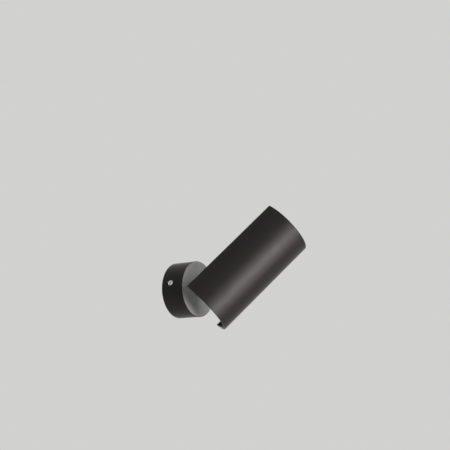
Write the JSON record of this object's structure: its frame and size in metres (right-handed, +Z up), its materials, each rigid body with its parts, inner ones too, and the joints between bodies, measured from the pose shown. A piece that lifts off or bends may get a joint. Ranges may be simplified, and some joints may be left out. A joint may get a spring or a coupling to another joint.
{
  "type": "pivoting spotlight wall light",
  "caption": "Wall spotlight: a round black drum base with a pale disc front, a swivelling stem, a tilting knuckle and a half-tube black shade over a twist-in reflector lamp.",
  "frame": {"origin": "centre of the round base on the wall plane, midway between the two wall screw slots", "axes": "+Z up the wall, -Y out of the wall into the room, +X to the right for someone who faces the wall; the wall screw slots lie along X"},
  "size_m": [0.1058, 0.1367, 0.1302],
  "materials": {
    "black_paint": "fine satin black powder coat",
    "disc_paint": "matt pale grey paint",
    "black_steel": "black oxide",
    "zinc_steel": "zinc plated",
    "screw_steel": "nickel plated",
    "brass": "plain",
    "bush_plastic": "plain acetal",
    "grommet_rubber": "soft",
    "block_plastic": "moulded",
    "ceramic": "unglazed ceramic",
    "lamp_plastic": "moulded",
    "lamp_aluminium": "die cast",
    "lamp_lens": "frosted",
    "led_board": "white solder mask",
    "led_chip": "phosphor",
    "sleeving_fabric": "woven glass sleeving",
    "lead_brown": "insulation",
    "lead_blue": "insulation",
    "lead_earth": "insulation, green with a yellow stripe"
  },
  "bodies": {
    "base": {"wall_plate": "zinc_steel", "cable_grommet": "grommet_rubber", "terminal_block": "block_plastic", "terminal_sleeves": "brass", "terminal_screws": "screw_steel", "terminal_block_screws": "screw_steel", "base_earth_tag": "zinc_steel", "base_earth_screw": "brass", "base_earth_lead": "lead_earth", "base_live_lead": "lead_brown", "base_neutral_lead": "lead_blue", "base_cup": "black_paint", "base_side_screws": "screw_steel", "front_disc": "disc_paint", "front_disc_screws": "screw_steel", "swivel_bush": "bush_plastic", "swivel_stop_pin": "screw_steel"},
    "swivel": {"thrust_washer": "bush_plastic", "swivel_stem": "black_steel", "tab_washer": "zinc_steel", "disc_spring": "zinc_steel", "stem_nut": "zinc_steel", "lead_sleeving": "sleeving_fabric", "stem_leads": "lead_brown", "knuckle_fork": "black_steel", "fork_grub_screw": "screw_steel"},
    "head": {"knuckle_tongue": "black_steel", "friction_washers": "bush_plastic", "pivot_screws": "black_steel", "pivot_spring_washers": "zinc_steel", "nipple_nut": "zinc_steel", "lamp_bracket": "zinc_steel", "head_earth_tag": "zinc_steel", "head_earth_screw": "brass", "head_earth_lead": "lead_earth", "shade": "black_paint", "shade_studs": "zinc_steel", "stud_washers": "zinc_steel", "stud_nuts": "zinc_steel", "holder_plate": "zinc_steel", "holder_plate_screw": "screw_steel", "lamp_holder": "ceramic", "holder_screws": "screw_steel", "holder_contacts": "brass", "lamp_body": "lamp_aluminium", "lamp_base": "lamp_plastic", "lamp_lens": "lamp_lens", "lamp_led_board": "led_board", "lamp_leds": "led_chip", "lamp_pins": "brass", "head_live_lead": "lead_brown", "head_neutral_lead": "lead_blue"}
  },
  "joints": [
    {"name": "head_swivel", "type": "hinge", "parent": "base", "child": "swivel", "pos_m": [0, 0, 0], "axis": [0, -1, 0], "range_deg": [-140.4, 190]},
    {"name": "head_tilt", "type": "hinge", "parent": "swivel", "child": "head", "pos_m": [0, -0.0578, 0], "axis": [-0.9078, 0, 0.4195], "range_deg": [-57.4, 32.6]}
  ]
}
